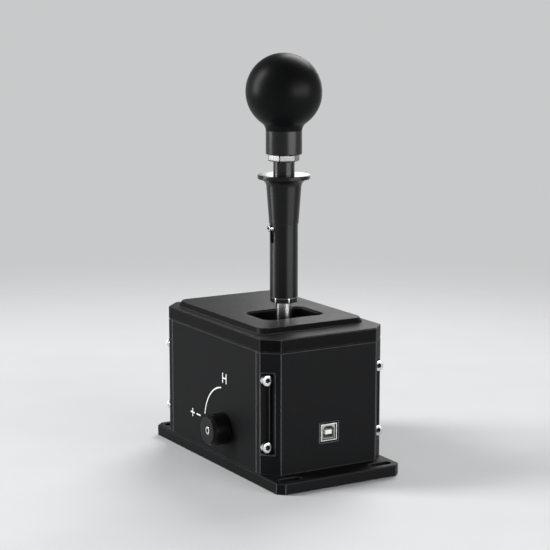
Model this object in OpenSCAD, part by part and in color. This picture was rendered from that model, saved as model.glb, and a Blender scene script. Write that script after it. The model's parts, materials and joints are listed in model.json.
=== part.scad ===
// Gear shifter for a driving simulator: a bolted aluminium housing, a lever on a two-axis gimbal,
// a sprung lift collar on the lever and a turning mode knob on the side.
// Millimetres, +Z up. The origin is the middle of the base plate's underside, the socket faces -Y.

/* [Base plate] */
// How far the base plate stands out at each side of the housing
base_side = 0.5; // [0.5:0.1:8]
// How far it stands out in front
base_front = 15.7; // [14:0.1:30]
// How far it stands out behind
base_rear = 12.5; // [12:0.1:30]
// Thickness of the base plate
base_t = 7.2; // [6.6:0.2:10]
// Cut-off at the base plate's corners
base_chamfer = 4.4; // [2:0.2:7]
// Width of a mounting slot
slot_w = 6.4; // [5.4:0.1:7]
// End-to-end length of a mounting slot
slot_len = 16; // [10:1:20]
// From the middle of a slot to the side of the plate
slot_side = 12; // [12:0.5:16]
// From the middle of a slot to the end of the plate
slot_end = 7.5; // [6:0.1:8]

/* [Housing] */
// Width over the side plates
body_w = 91; // [88:1:100]
// Length over the end walls
body_l = 144.8; // [142:0.2:147]
// Height of the walls
wall_h = 79.5; // [76:0.5:95]
// Thickness of an end wall at its posts
end_t = 14.6; // [13:0.2:16]
// Thickness of an end wall's middle panel
panel_t = 4; // [3:0.2:5]
// Width of the pocket behind the middle panel
pocket_w = 58; // [56:1:62]
// Thickness of a side plate
side_t = 7; // [6.6:0.2:8]
// Cut-off at the housing's upright corners
corner_chamfer = 9.8; // [8:0.1:10.4]
// Spacing of the two cap screws in a corner
wall_screw_pitch = 43.5; // [36:0.5:50]
// Room above and below those screws in the corner notch
notch_margin = 4.8; // [4:0.1:6]

/* [Cover] */
// Thickness of the cover at its ledge
cover_t = 8.9; // [8:0.1:12]
// Height of the raised deck above the ledge
deck_h = 3.6; // [2.4:0.1:5]
// Ledge in front of the deck
ledge_front = 17.8; // [14:0.2:20]
// Ledge behind the deck
ledge_rear = 8.4; // [6:0.2:12]
// Ledge at each side of the deck
ledge_side = 5.4; // [4:0.2:8]
// Width of the slope round the deck
deck_slope = 1.8; // [0.8:0.1:2.4]
// Radius of the deck's corners
deck_r = 7; // [4:0.5:10]
// Width of the lever opening
opening_w = 44; // [42:1:50]
// Length of the lever opening
opening_l = 32; // [31:1:38]
// Radius of the opening's corners
opening_r = 6; // [4:0.5:8]
// Bevel round the opening
opening_bevel = 1; // [0.5:0.1:1.5]
// Depth of the pocket under the cover
cover_pocket = 5.3; // [3:0.1:6]

/* [Lever] */
// Place of the lever axis along the housing
lever_y = -14; // [-15:0.5:-13]
// Height of the gimbal centre
pivot_z = 45; // [43:0.5:46]
// Swing to each side, degrees
side_swing = 13; // [10:0.5:14]
// Swing fore and aft, degrees
fore_swing = 9.5; // [7:0.5:10]
// Diameter of the lever shaft
shaft_d = 14; // [13:0.2:14.4]
// Diameter of the polished rod under the shaft
rod_d = 10.6; // [10:0.1:11]
// Gap from the deck to the stop nut on the rod
stop_nut_gap = 7.85; // [7:0.05:10]
// Width across flats of the stop nut
stop_nut_af = 16; // [16:0.5:17]
// Height of the stop nut
stop_nut_h = 3.6; // [3:0.1:4.4]

/* [Knob] */
// Diameter of the ball
knob_d = 50; // [46:1:56]
// Diameter of the neck
neck_d = 23.8; // [20:0.2:28]
// Height of the ball's centre above the neck's foot
neck_len = 40.7; // [38:0.1:50]
// Radius of the hollow between ball and neck
neck_fillet = 6; // [4:0.5:14]
// Thread diameter of the knob stud
stud_d = 12; // [10:0.5:12]
// Length of the knob stud above the shaft
stud_len = 26; // [20:1:30]
// Width across flats of the lock nut
nut_af = 18; // [17:0.5:19]
// Height of the lock nut
nut_h = 4.3; // [4:0.1:7]

/* [Lift collar] */
// Travel of the collar
lift_travel = 8; // [5:0.5:8.5]
// Diameter of the finger disc
disc_d = 34.6; // [30:0.2:40]
// Thickness of the finger disc
disc_t = 2.8; // [2:0.1:4]
// Diameter of the sleeve under the disc
sleeve_top_d = 23; // [22:0.2:25]
// Diameter of the sleeve at its foot
sleeve_low_d = 19.4; // [19:0.1:20.4]
// Height of the collar
collar_len = 32.1; // [28:0.1:34]
// Outer diameter of the lift tube
tube_d = 18.6; // [18.2:0.1:18.8]
// Length of the lift tube
tube_len = 48.7; // [44:0.1:50]
// Head diameter of the guide screw
guide_head_d = 4.2; // [3.6:0.1:4.6]

/* [Mode knob] */
// Height of the mode shaft
mode_z = 27; // [26:0.5:28]
// Diameter of the mode knob at the housing
mode_knob_d = 21; // [18:0.5:24]
// Diameter of the mode knob's face
mode_face_d = 17.6; // [14:0.2:18]
// Length of the mode knob
mode_knob_len = 12.4; // [11:0.2:16]
// Diameter of the mode shaft
mode_shaft_d = 8; // [7:0.5:8.5]
// Radius of the mode cam
mode_cam_r = 12; // [11.5:0.5:12]

/* [Socket] */
// Width of the data socket's shell
socket_w = 12; // [11:0.1:13]
// Height of the data socket's shell
socket_h = 11; // [10:0.1:12]
// Depth of the data socket's shell
socket_l = 16; // [14:0.5:17]
// Gap between the shell and the wall's cut-out
socket_gap = 1; // [0.3:0.1:1.4]
// How far the socket's mouth lies behind the wall's face
socket_recess = 0.2; // [0:0.1:2]
// Height of the socket's middle
socket_z = 31.2; // [29:0.1:32]

/* [Fits] */
// Radial gap of a running fit
run_gap = 0.05; // [0.02:0.01:0.08]
// Radial gap of a screw thread or a seated piece
seat_gap = 0.05; // [0.02:0.01:0.08]
// Gap that keeps moving pieces apart
clear_gap = 0.3; // [0.25:0.05:0.4]

/* [Hidden] */
$fn = 64;
// Extra depth of a cut, bevel of a turned or plate edge, bevel at a seam, thinnest layer of a hull
over = 1;
edge = 0.5;
seam_bevel = 0.4;
skin = 0.05;

anodised = "#17181a";
satin_black = "#0e0f10";
steel = "#c9ccd0";
polished = "#dfe2e6";
bronze = "#b08a4a";
zinc = "#b9bcc0";
board_green = "#1d5a3a";
nylon = "#e8e8e2";
magnet_grey = "#8d9094";
chip_black = "#202224";

// Base plate
base_w = body_w + 2 * base_side;
base_l = body_l + base_front + base_rear;
slot_spacing_x = base_w - 2 * slot_side;
slot_spacing_y = base_l - 2 * slot_end;

// Housing
body_y = (base_front - base_rear) / 2;
half_w = body_w / 2;
front_y = body_y - body_l / 2;
rear_y = body_y + body_l / 2;
inner_x = half_w - side_t;
side_l = body_l - 2 * end_t;
cover_z = base_t + wall_h;
ledge_z = cover_z + cover_t;
deck_z = ledge_z + deck_h;
mid_z = base_t + wall_h / 2;
screw_zs = [mid_z - wall_screw_pitch / 2, mid_z + wall_screw_pitch / 2];
wall_screw_x = half_w - side_t / 2;
tie_x = (pocket_w / 2 + inner_x) / 2;
tie_ys = [front_y + end_t / 2, rear_y - end_t / 2];

// Metric fasteners: radius of shank, radius and height of head, width across the socket's flats
m3 = [1.5, 2.75, 3, 2.5];
m4 = [2, 3.5, 4, 3];
m5 = [2.5, 4.25, 5, 4];
hole_gap = 0.25;
wall_screw_len = 14;
head_sink = 0.2;
tie_grip = 6;

// Gimbal
yoke_w = 40;
yoke_l = 34;
yoke_h = 14;
yoke_wall_x = 7.5;
yoke_wall_y = 6;
yoke_r = 3;
bearing_t = 10;
bearing_w = 30;
bush_wall = 2;
bush_flange_t = 1.5;
bush_flange = 2;
axle_d = 10;
axle_seat = 5.5;
axle_overhang = 0.5;
pin_d = 8;
block_r = 9.5;
block_w = yoke_w - 2 * yoke_wall_x - 2 * clear_gap;
block_neck_l = 17;
block_rise = 17;
block_top_z = pivot_z + block_rise;
rod_stud_d = 8;
rod_stud_len = 9.5;
bearing_near = yoke_l / 2 + clear_gap + bush_flange_t;
bearing_mid = bearing_near + bearing_t / 2;
bearing_far = bearing_near + bearing_t;
axle_far = bearing_far + axle_overhang;
bearing_screw_x = 10;
bearing_screw_grip = 10;
bearing_ys = [lever_y - bearing_mid, lever_y + bearing_mid];
side_magnet_d = 6;
fore_magnet_d = 4;
magnet_t = 2.5;
sensor_boss = 1.6;
sensor_size = 18;
sensor_t = 1.6;
sensor_boss_r = 2.2;
sensor_boss_pitch = 13;
sensor_chip = [4, 4, 0.9];
pin_end = yoke_w / 2 + sensor_boss - sensor_chip[2] - clear_gap;
centring_x = 17.2;
centring_coil_r = 2.4;
centring_wire_r = 0.45;
centring_turns = 9;

// Track that guides the lever's tail
ball_r = 2.5;
track_r = 33;
track_groove_r = ball_r + clear_gap;
track_cross_drop = 0.1;
track_end = asin(track_groove_r / track_r);
track_top = pivot_z - track_r;
track_w = 28;
track_l = 31;
track_corner_r = 3;
track_dimple = 0.4;
track_screw_x = 10.6;
track_screw_y = 12;
track_screw_len = 8;
tail_d = 7;
tail_rise = 1.6;
tail_foot_z = track_top + tail_rise;
tail_spigot_d = 6;
tail_spigot_len = 4;
tail_bore_len = 12;

// Lever, from the stop nut up
stop_nut_z = deck_z + stop_nut_gap;
stop_nut_turn = 21.5;
shaft_z = stop_nut_z + stop_nut_h + seat_gap;
tube_z = shaft_z;
collar_z = tube_z + tube_len;
collar_top = collar_z + collar_len;
nut_clear = 1;
nut_z = collar_top + lift_travel + nut_clear;
nut_turn = -17;
nut_bevel = 0.4;
knob_z = nut_z + nut_h;
ball_z = knob_z + neck_len;
stop_gap = 0.1;
tube_bore_r = shaft_d / 2 + run_gap;
cavity_r = 8.7;
cavity_roof = 4.7;
cavity_top_z = collar_top - cavity_roof;
spigot_len = 5.4;
slot_end_wall = 0.4;
guide_slot_r = guide_head_d / 2 + stop_gap;
guide_z = collar_z - slot_end_wall - guide_slot_r;
guide_stem_d = 2.5;
guide_key = 2;
guide_stem_len = 4.5;
guide_proud = 1.3;
ring_t = 1.1;
ring_groove = 0.6;
ring_clear = 0.5;
stop_ring_z = cavity_top_z - ring_clear - ring_t;
lift_wire_r = 0.5;
lift_turns = 7;
detent_wire_r = 0.35;
detent_turns = 5;

// Mode knob
mode_gap = 0.4;
mode_bevel = 2.2;
mode_taper = 0.3;
mode_shaft_grip = 6.5;
mode_shaft_out = half_w + mode_shaft_grip;
mode_screw_len = 10;
mode_cam_t = 5;
mode_hub_r = 6;
mode_flange_t = 1.2;
mode_flange = 1;
mode_hub_len = 1.1;
mode_cam_x = -inner_x + mode_flange_t + clear_gap + mode_hub_len;
mode_clip_x = mode_cam_x + mode_cam_t + clear_gap;
mode_clip_t = 0.8;
mode_shaft_tip = 0.8;
mode_shaft_in = mode_clip_x + mode_clip_t + mode_shaft_tip;
mode_magnet_r = 9.3;
mode_magnet_d = 4;
mode_magnet_t = 2;
mode_notch_r = 1.8;
mode_turn = 80;
plunger_r = 3;
plunger_ball_r = 1.8;
plunger_seat = 4;
plunger_ball_z = mode_z - mode_cam_r - clear_gap - plunger_ball_r;
mode_board = [1.2, 14, 12];
mode_board_rise = 5;
mode_chip_t = 0.8;

// Circuit board
board_t = 1.6;
board_top = socket_z - socket_h / 2;
board_side_gap = 1;
board_front_gap = 0.5;
board_rear_gap = 1.5;
board_w = pocket_w - 2 * board_side_gap;
board_y0 = front_y + panel_t + board_front_gap;
board_y1 = lever_y - bearing_far - board_rear_gap;
standoff_af = 5.5;
standoff_inset = 4;
standoff_x = board_w / 2 - standoff_inset;
standoff_ys = [board_y0 + standoff_inset, board_y1 - standoff_inset];
standoff_stud_len = 4;
board_screw_head_h = 1.9;
chip_size = [8, 8, 1.4];
clock_size = [7, 3, 2.2];
header_size = [6, 5, 5.5];
header_xs = [-20, -12];
header_inset = 1;
socket_wall = 0.5;
socket_y = front_y + socket_recess;
mouth_w = 8.5;
mouth_h = 7.8;
mouth_cut = 1.8;
mouth_set = 0.6;
tongue_w = 5.6;
tongue_h = 3.2;
tongue_len = 9;
tongue_back = 4;

// Plain outlines and shared forms

module chamfered_rect(w, l, c) {
    polygon([
        [-w / 2 + c, -l / 2], [w / 2 - c, -l / 2], [w / 2, -l / 2 + c], [w / 2, l / 2 - c],
        [w / 2 - c, l / 2], [-w / 2 + c, l / 2], [-w / 2, l / 2 - c], [-w / 2, -l / 2 + c]
    ]);
}

module rounded_rect(w, l, r) {
    square([w, l - 2 * r], center = true);
    square([w - 2 * r, l], center = true);
    for (x = [-1, 1], y = [-1, 1])
        translate([x * (w / 2 - r), y * (l / 2 - r)]) circle(r);
}

module slot_outline(length, width) {
    square([length - width, width], center = true);
    for (x = [-1, 1]) translate([x * (length - width) / 2, 0]) circle(d = width);
}

// A cylinder along X from x0 to x1, or along Y from y0 to y1
module along_x(r, x0, x1) {
    translate([x0, 0, 0]) rotate([0, 90, 0]) cylinder(r = r, h = x1 - x0);
}

module along_y(r, y0, y1) {
    translate([0, y1, 0]) rotate([90, 0, 0]) cylinder(r = r, h = y1 - y0);
}

// Cap screw pointing down, with the underside of its head at the origin
module cap_screw(size, length) {
    bevel = 0.3;
    socket_depth = size[2] / 2;
    difference() {
        union() {
            rotate_extrude() polygon([
                [0, 0], [size[1], 0], [size[1], size[2] - bevel], [size[1] - bevel, size[2]], [0, size[2]]
            ]);
            translate([0, 0, -length]) cylinder(r = size[0], h = length);
        }
        translate([0, 0, size[2] - socket_depth])
            cylinder(d = size[3] / cos(30), h = socket_depth + over, $fn = 6);
    }
}

// Countersunk screw pointing down, with the top of its head at the origin
module flat_screw(size, length) {
    rise = size[1] - size[0];
    socket_depth = 0.7 * rise;
    socket_af = 0.8 * size[3];
    difference() {
        union() {
            translate([0, 0, -rise]) cylinder(r1 = size[0], r2 = size[1], h = rise);
            translate([0, 0, -length]) cylinder(r = size[0], h = length);
        }
        translate([0, 0, -socket_depth])
            cylinder(d = socket_af / cos(30), h = socket_depth + over, $fn = 6);
    }
}

// Room for a countersunk screw, cut with its head flush at the origin
module flat_screw_hole(size, length) {
    rise = size[1] - size[0];
    translate([0, 0, -rise]) cylinder(r1 = size[0] + seat_gap, r2 = size[1] + seat_gap, h = rise);
    translate([0, 0, -seat_gap]) cylinder(r = size[1] + seat_gap, h = over);
    translate([0, 0, -length]) cylinder(r = size[0] + seat_gap, h = length);
}

// Points of a coil, and the tube swept along them
coil_steps = 16;
coil_sides = 6;

function coil_points(r, z0, z1, turns) = [
    for (i = [0 : turns * coil_steps])
        let (a = 360 * i / coil_steps)
            [r * cos(a), r * sin(a), z0 + (z1 - z0) * i / (turns * coil_steps)]
];

function least_gap(points, wire_r) =
    min([for (i = [0 : len(points) - coil_steps - 1])
        norm(points[i + coil_steps] - points[i])]) - 2 * wire_r;

module coil_tube(points, wire_r) {
    last = len(points) - 1;
    rise = points[1][2] - points[0][2];
    step = norm([points[1][0] - points[0][0], points[1][1] - points[0][1]]);
    ring_points = [
        for (p = points)
            let (out = [p[0], p[1], 0] / norm([p[0], p[1]]),
                 ahead = [-out[1] * step, out[0] * step, rise] / norm([step, rise]),
                 side = cross(ahead, out))
                for (k = [0 : coil_sides - 1])
                    p + wire_r * (cos(360 * k / coil_sides) * out + sin(360 * k / coil_sides) * side)
    ];
    walls = [
        for (i = [0 : last - 1], k = [0 : coil_sides - 1])
            let (a = i * coil_sides + k,
                 b = i * coil_sides + (k + 1) % coil_sides,
                 c = a + coil_sides,
                 d = b + coil_sides)
                each [[a, b, c], [b, d, c]]
    ];
    ends = [
        for (k = [1 : coil_sides - 2])
            each [[0, k + 1, k], [last * coil_sides, last * coil_sides + k, last * coil_sides + k + 1]]
    ];
    polyhedron(points = ring_points, faces = concat(walls, ends), convexity = 10);
}

// Base plate and walls

module base_plate() {
    color(anodised) difference() {
        hull() {
            linear_extrude(base_t - edge) chamfered_rect(base_w, base_l, base_chamfer);
            linear_extrude(base_t) chamfered_rect(base_w - 2 * edge, base_l - 2 * edge, base_chamfer);
        }
        for (x = [-1, 1], y = [-1, 1])
            translate([x * slot_spacing_x / 2, y * slot_spacing_y / 2, -over])
                linear_extrude(base_t + 2 * over) slot_outline(slot_len, slot_w);
        for (x = [-tie_x, tie_x], y = tie_ys) translate([x, y, 0]) {
            translate([0, 0, -over])
                cylinder(r = m5[1] + hole_gap, h = over + head_sink + m5[2]);
            cylinder(r = m5[0] + hole_gap, h = base_t + over);
        }
        for (x = [-bearing_screw_x, bearing_screw_x], y = bearing_ys)
            translate([x, y, 0]) rotate([180, 0, 0]) flat_screw_hole(m5, base_t + over);
        for (x = [-track_screw_x, track_screw_x], y = [-track_screw_y, track_screw_y])
            translate([x, lever_y + y, track_top - track_screw_len - over])
                cylinder(r = m3[0] + seat_gap, h = track_screw_len + over);
        for (x = [-standoff_x, standoff_x], y = standoff_ys)
            translate([x, y, base_t - standoff_stud_len - seat_gap])
                cylinder(r = m3[0] + seat_gap, h = standoff_stud_len + over);
        translate([mode_cam_x + mode_cam_t / 2, lever_y, base_t - plunger_seat])
            cylinder(r = plunger_r + seat_gap, h = plunger_seat + over);
    }
}

// An end wall in plan, its outer face on the X axis and its inside towards +Y
module end_wall_plan() {
    polygon([
        [-half_w + corner_chamfer, 0], [half_w - corner_chamfer, 0],
        [half_w, corner_chamfer], [half_w, end_t],
        [pocket_w / 2, end_t], [pocket_w / 2, panel_t],
        [-pocket_w / 2, panel_t], [-pocket_w / 2, end_t],
        [-half_w, end_t], [-half_w, corner_chamfer]
    ]);
}

// Bar that cuts the small bevel at a seam, along X and centred on the edge
module seam_bar(length) {
    rotate([45, 0, 0]) cube([length, seam_bevel * sqrt(2), seam_bevel * sqrt(2)], center = true);
}

// An end wall with its corner notches, screw holes and the long holes for the tie bolts
module end_wall() {
    notch_h = wall_screw_pitch + 2 * notch_margin;
    difference() {
        linear_extrude(wall_h) end_wall_plan();
        for (z = [0, wall_h]) translate([0, 0, z]) {
            seam_bar(body_w);
            for (s = [-1, 1]) {
                translate([s * (half_w - corner_chamfer / 2), corner_chamfer / 2, 0])
                    rotate([0, 0, s * 45]) seam_bar(2 * corner_chamfer);
                translate([s * half_w, end_t, 0]) rotate([0, 0, 90]) seam_bar(2 * end_t);
            }
        }
        for (s = [-1, 1]) {
            translate([s * half_w, end_t, wall_h / 2]) rotate([0, 90, 0]) seam_bar(wall_h + over);
            translate([s * (wall_screw_x + over / 2), (corner_chamfer - over) / 2, wall_h / 2])
                cube([side_t + over, corner_chamfer + over, notch_h], center = true);
            for (z = screw_zs)
                translate([s * wall_screw_x, 0, z - base_t]) along_y(m4[0] + hole_gap, 0, end_t + over);
            translate([s * tie_x, end_t / 2, -over])
                cylinder(r = m5[0] + hole_gap, h = wall_h + 2 * over);
        }
    }
}

module front_wall() {
    color(anodised) difference() {
        translate([0, front_y, base_t]) end_wall();
        translate([-socket_w / 2 - socket_gap, front_y - over, board_top - socket_gap])
            cube([socket_w + 2 * socket_gap, panel_t + 2 * over, socket_h + 2 * socket_gap]);
    }
}

module rear_wall() {
    color(anodised) translate([0, rear_y, base_t]) mirror([0, 1, 0]) end_wall();
}

// A side plate with the tapped holes in its two ends; s is -1 for the left one
module side_plate(s) {
    difference() {
        translate([s * wall_screw_x, body_y, mid_z]) cube([side_t, side_l, wall_h], center = true);
        for (z = screw_zs, e = [-1, 1])
            translate([s * wall_screw_x, body_y + e * side_l / 2, z])
                along_y(m4[0] + seat_gap, -wall_screw_len, wall_screw_len);
        for (z = [base_t, cover_z])
            translate([s * half_w, body_y, z]) rotate([0, 0, 90]) seam_bar(body_l);
        for (e = [-1, 1])
            translate([s * half_w, body_y + e * side_l / 2, mid_z])
                rotate([0, 90, 0]) seam_bar(wall_h + over);
    }
}

module left_side_plate() {
    color(anodised) difference() {
        side_plate(-1);
        translate([0, lever_y, mode_z])
            along_x(mode_shaft_d / 2 + bush_wall + seat_gap, -half_w - over, -inner_x + over);
    }
}

module right_side_plate() {
    color(anodised) side_plate(1);
}

// Cover: a skirted plate with a raised deck, the lever opening and a pocket underneath
module top_cover() {
    deck_w = body_w - 2 * ledge_side;
    deck_l = body_l - ledge_front - ledge_rear;
    deck_y = body_y + (ledge_front - ledge_rear) / 2;
    pocket_wall = 2.5;
    color(anodised) difference() {
        union() {
            translate([0, body_y, cover_z]) hull() {
                translate([0, 0, seam_bevel]) linear_extrude(cover_t - edge - seam_bevel)
                    chamfered_rect(body_w, body_l, corner_chamfer);
                linear_extrude(cover_t)
                    chamfered_rect(body_w - 2 * edge, body_l - 2 * edge, corner_chamfer);
            }
            translate([0, deck_y, ledge_z - edge]) hull($fn = 32) {
                linear_extrude(edge) rounded_rect(deck_w, deck_l, deck_r, $fn = 32);
                linear_extrude(edge + deck_h)
                    rounded_rect(deck_w - 2 * deck_slope, deck_l - 2 * deck_slope, deck_r, $fn = 32);
            }
        }
        translate([0, body_y, cover_z - over])
            linear_extrude(cover_pocket + over)
                rounded_rect(body_w - 2 * side_t - 2 * pocket_wall, side_l - 2 * pocket_wall, deck_r);
        translate([0, lever_y, cover_z])
            linear_extrude(deck_z) rounded_rect(opening_w, opening_l, opening_r);
        translate([0, lever_y, deck_z - opening_bevel]) hull($fn = 32) {
            linear_extrude(skin) rounded_rect(opening_w, opening_l, opening_r, $fn = 32);
            translate([0, 0, 2 * opening_bevel]) linear_extrude(skin)
                rounded_rect(opening_w + 4 * opening_bevel, opening_l + 4 * opening_bevel,
                    opening_r + 2 * opening_bevel, $fn = 32);
        }
        for (x = [-tie_x, tie_x], y = tie_ys)
            translate([x, y, cover_z - over]) cylinder(r = m5[0] + seat_gap, h = over + tie_grip + over);
    }
}

module wall_screws() {
    color(steel) for (s = [-1, 1], z = screw_zs) {
        translate([s * wall_screw_x, front_y + corner_chamfer, z])
            rotate([90, 0, 0]) cap_screw(m4, wall_screw_len);
        translate([s * wall_screw_x, rear_y - corner_chamfer, z])
            rotate([-90, 0, 0]) cap_screw(m4, wall_screw_len);
    }
}

module tie_bolts() {
    color(zinc) for (x = [-tie_x, tie_x], y = tie_ys)
        translate([x, y, head_sink + m5[2]])
            rotate([180, 0, 0]) cap_screw(m5, cover_z + tie_grip - head_sink - m5[2]);
}

// Bearings of the gimbal

// A bearing block seen from the yoke: its near face at Y = 0, the block behind it
module bearing_block() {
    bore_r = axle_d / 2 + bush_wall + seat_gap;
    difference() {
        translate([0, bearing_t, 0]) rotate([90, 0, 0]) linear_extrude(bearing_t) {
            translate([-bearing_w / 2, base_t]) square([bearing_w, pivot_z - base_t]);
            translate([0, pivot_z]) circle(d = bearing_w);
        }
        translate([0, 0, pivot_z]) along_y(bore_r, -over, bearing_t + over);
        for (x = [-bearing_screw_x, bearing_screw_x])
            translate([x, bearing_t / 2, 0])
                cylinder(r = m5[0] + seat_gap, h = base_t + bearing_screw_grip + over);
    }
}

// Four short bosses that carry a sensor board, along +Y from Y = 0
module sensor_bosses() {
    for (x = [-1, 1], z = [-1, 1])
        translate([x * sensor_boss_pitch / 2, 0, z * sensor_boss_pitch / 2])
            along_y(sensor_boss_r, -seat_gap, sensor_boss);
}

// A sensor board on those bosses, its chip towards the magnet
module sensor_board() {
    translate([0, sensor_boss + sensor_t / 2, 0])
        cube([sensor_size, sensor_t, sensor_size], center = true);
    translate([0, sensor_boss - sensor_chip[2] / 2, 0])
        cube([sensor_chip[0], sensor_chip[2], sensor_chip[1]], center = true);
}

module front_bearing_block() {
    color(anodised) translate([0, lever_y - bearing_near, 0]) mirror([0, 1, 0]) {
        bearing_block();
        translate([0, bearing_t, pivot_z]) sensor_bosses();
    }
}

module rear_bearing_block() {
    color(anodised) translate([0, lever_y + bearing_near, 0]) bearing_block();
}

module bearing_block_screws() {
    color(zinc) for (x = [-bearing_screw_x, bearing_screw_x], y = bearing_ys)
        translate([x, y, 0]) rotate([180, 0, 0]) flat_screw(m5, base_t + bearing_screw_grip);
}

// A flanged bush for the yoke's axle, its flange towards the yoke
module axle_bush() {
    difference() {
        union() {
            along_y(axle_d / 2 + bush_wall, 0, bearing_t);
            along_y(axle_d / 2 + bush_wall + bush_flange, -bush_flange_t, 0);
        }
        along_y(axle_d / 2 + run_gap, -bush_flange_t - over, bearing_t + over);
    }
}

module front_bush() {
    color(bronze) translate([0, lever_y - bearing_near, pivot_z]) mirror([0, 1, 0]) axle_bush();
}

module rear_bush() {
    color(bronze) translate([0, lever_y + bearing_near, pivot_z]) axle_bush();
}

// Groove for the lever's ball along an arc about the gimbal centre, fore and aft
module track_groove(depth, half_angle) {
    rotate([0, 90, 0]) rotate([0, 0, -half_angle]) rotate_extrude(angle = 2 * half_angle)
        translate([track_r - over, -track_groove_r]) square([over + depth, 2 * track_groove_r]);
}

// Track for the lever's tail: three lanes with a dimple at each end, and a cross channel
module track_plate() {
    color(steel) difference() {
        translate([0, lever_y, base_t])
            linear_extrude(track_top - base_t) rounded_rect(track_w, track_l, track_corner_r);
        translate([0, lever_y, pivot_z]) {
            for (lane = [-1, 0, 1]) rotate([0, lane * side_swing, 0]) {
                track_groove(track_groove_r, fore_swing + track_end);
                for (stop = [-1, 1]) rotate([stop * fore_swing, 0, 0])
                    translate([0, 0, -track_r]) sphere(track_groove_r + track_dimple);
            }
            rotate([0, 0, 90]) track_groove(track_groove_r + track_cross_drop, side_swing);
        }
        for (x = [-track_screw_x, track_screw_x], y = [-track_screw_y, track_screw_y])
            translate([x, lever_y + y, track_top]) flat_screw_hole(m3, track_screw_len);
    }
}

module track_screws() {
    color(zinc) for (x = [-track_screw_x, track_screw_x], y = [-track_screw_y, track_screw_y])
        translate([x, lever_y + y, track_top]) flat_screw(m3, track_screw_len);
}

// Electronics

module circuit_board() {
    color(board_green) difference() {
        translate([-board_w / 2, board_y0, board_top - board_t])
            cube([board_w, board_y1 - board_y0, board_t]);
        for (x = [-standoff_x, standoff_x], y = standoff_ys)
            translate([x, y, board_top - board_t - over])
                cylinder(r = m3[0] + hole_gap, h = board_t + 2 * over);
    }
}

// Controller chip, clock can and two lead headers soldered on the board
module board_parts() {
    board_mid = (board_y0 + board_y1) / 2;
    header_y = board_y1 - header_inset - header_size[1];
    color(chip_black) translate([socket_w, board_mid - chip_size[1] / 2, board_top]) cube(chip_size);
    color(steel) translate([socket_w, header_y, board_top]) cube(clock_size);
    color(nylon) for (x = header_xs) translate([x, header_y, board_top]) cube(header_size);
}

module board_standoffs() {
    color(steel) for (x = [-standoff_x, standoff_x], y = standoff_ys) translate([x, y, base_t]) {
        difference() {
            cylinder(d = standoff_af / cos(30), h = board_top - board_t - base_t, $fn = 6);
            translate([0, 0, board_top - board_t - base_t - 2 * standoff_stud_len])
                cylinder(r = m3[0] + seat_gap, h = 2 * standoff_stud_len + over);
        }
        translate([0, 0, -standoff_stud_len]) cylinder(r = m3[0], h = standoff_stud_len);
    }
}

module board_screws() {
    grip = board_t + standoff_stud_len;
    color(steel) for (x = [-standoff_x, standoff_x], y = standoff_ys) translate([x, y, board_top]) {
        cylinder(r = m3[1], h = board_screw_head_h);
        translate([0, 0, -grip]) cylinder(r = m3[0], h = grip);
    }
}

// Square shell of folded sheet round the data socket, open at its front
module socket_shell() {
    color(zinc) translate([-socket_w / 2, socket_y, board_top]) difference() {
        cube([socket_w, socket_l, socket_h]);
        translate([socket_wall, -over, socket_wall])
            cube([socket_w - 2 * socket_wall, socket_l - socket_wall + over, socket_h - 2 * socket_wall]);
    }
}

// Insulator of the data socket: its mouth has both upper corners cut off, and the tongue stands in it
module socket_tongue() {
    inset = socket_wall + seat_gap;
    mouth_y = socket_y + mouth_set;
    back_y = socket_y + socket_l - socket_wall;
    floor_y = back_y - tongue_back;
    half = mouth_w / 2;
    color(nylon) {
        difference() {
            translate([-socket_w / 2 + inset, mouth_y, board_top + inset])
                cube([socket_w - 2 * inset, back_y - mouth_y, socket_h - 2 * inset]);
            translate([0, floor_y, socket_z - mouth_h / 2]) rotate([90, 0, 0])
                linear_extrude(floor_y - mouth_y + over) polygon([
                    [-half, 0], [half, 0], [half, mouth_h - mouth_cut], [half - mouth_cut, mouth_h],
                    [-half + mouth_cut, mouth_h], [-half, mouth_h - mouth_cut]
                ]);
        }
        translate([-tongue_w / 2, floor_y - tongue_len, socket_z - tongue_h / 2])
            cube([tongue_w, tongue_len + over, tongue_h]);
    }
}

module side_sensor_board() {
    color(board_green) translate([0, lever_y - bearing_far, pivot_z]) mirror([0, 1, 0]) sensor_board();
}

// Springs that stand on the base plate and bring the yoke back to the middle
centring_points = coil_points(centring_coil_r, base_t + centring_wire_r + seat_gap,
    pivot_z - yoke_h / 2 - centring_wire_r - seat_gap, centring_turns);
module centring_spring(s) {
    color(steel) translate([s * centring_x, lever_y, 0]) coil_tube(centring_points, centring_wire_r);
}

module left_centring_spring() {
    centring_spring(-1);
}

module right_centring_spring() {
    centring_spring(1);
}

// Yoke, which swings from side to side

module yoke_frame() {
    side_bore_r = pin_d / 2 + bush_wall + seat_gap;
    color(anodised) translate([0, lever_y, pivot_z]) {
        difference() {
            translate([0, 0, -yoke_h / 2]) linear_extrude(yoke_h) difference() {
                rounded_rect(yoke_w, yoke_l, yoke_r);
                rounded_rect(yoke_w - 2 * yoke_wall_x, yoke_l - 2 * yoke_wall_y, yoke_r / 2);
            }
            along_x(side_bore_r, -yoke_w / 2 - over, yoke_w / 2 + over);
            for (s = [0, 1]) mirror([0, s, 0])
                along_y(axle_d / 2 + seat_gap, yoke_l / 2 - axle_seat, yoke_l / 2 + over);
        }
        translate([yoke_w / 2, 0, 0]) rotate([0, 0, -90]) sensor_bosses();
    }
}

module yoke_axles() {
    color(polished) translate([0, lever_y, pivot_z]) {
        along_y(axle_d / 2, yoke_l / 2 - axle_seat, axle_far);
        mirror([0, 1, 0]) difference() {
            along_y(axle_d / 2, yoke_l / 2 - axle_seat, axle_far);
            along_y(side_magnet_d / 2 + seat_gap, axle_far - magnet_t, axle_far + over);
        }
    }
}

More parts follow.
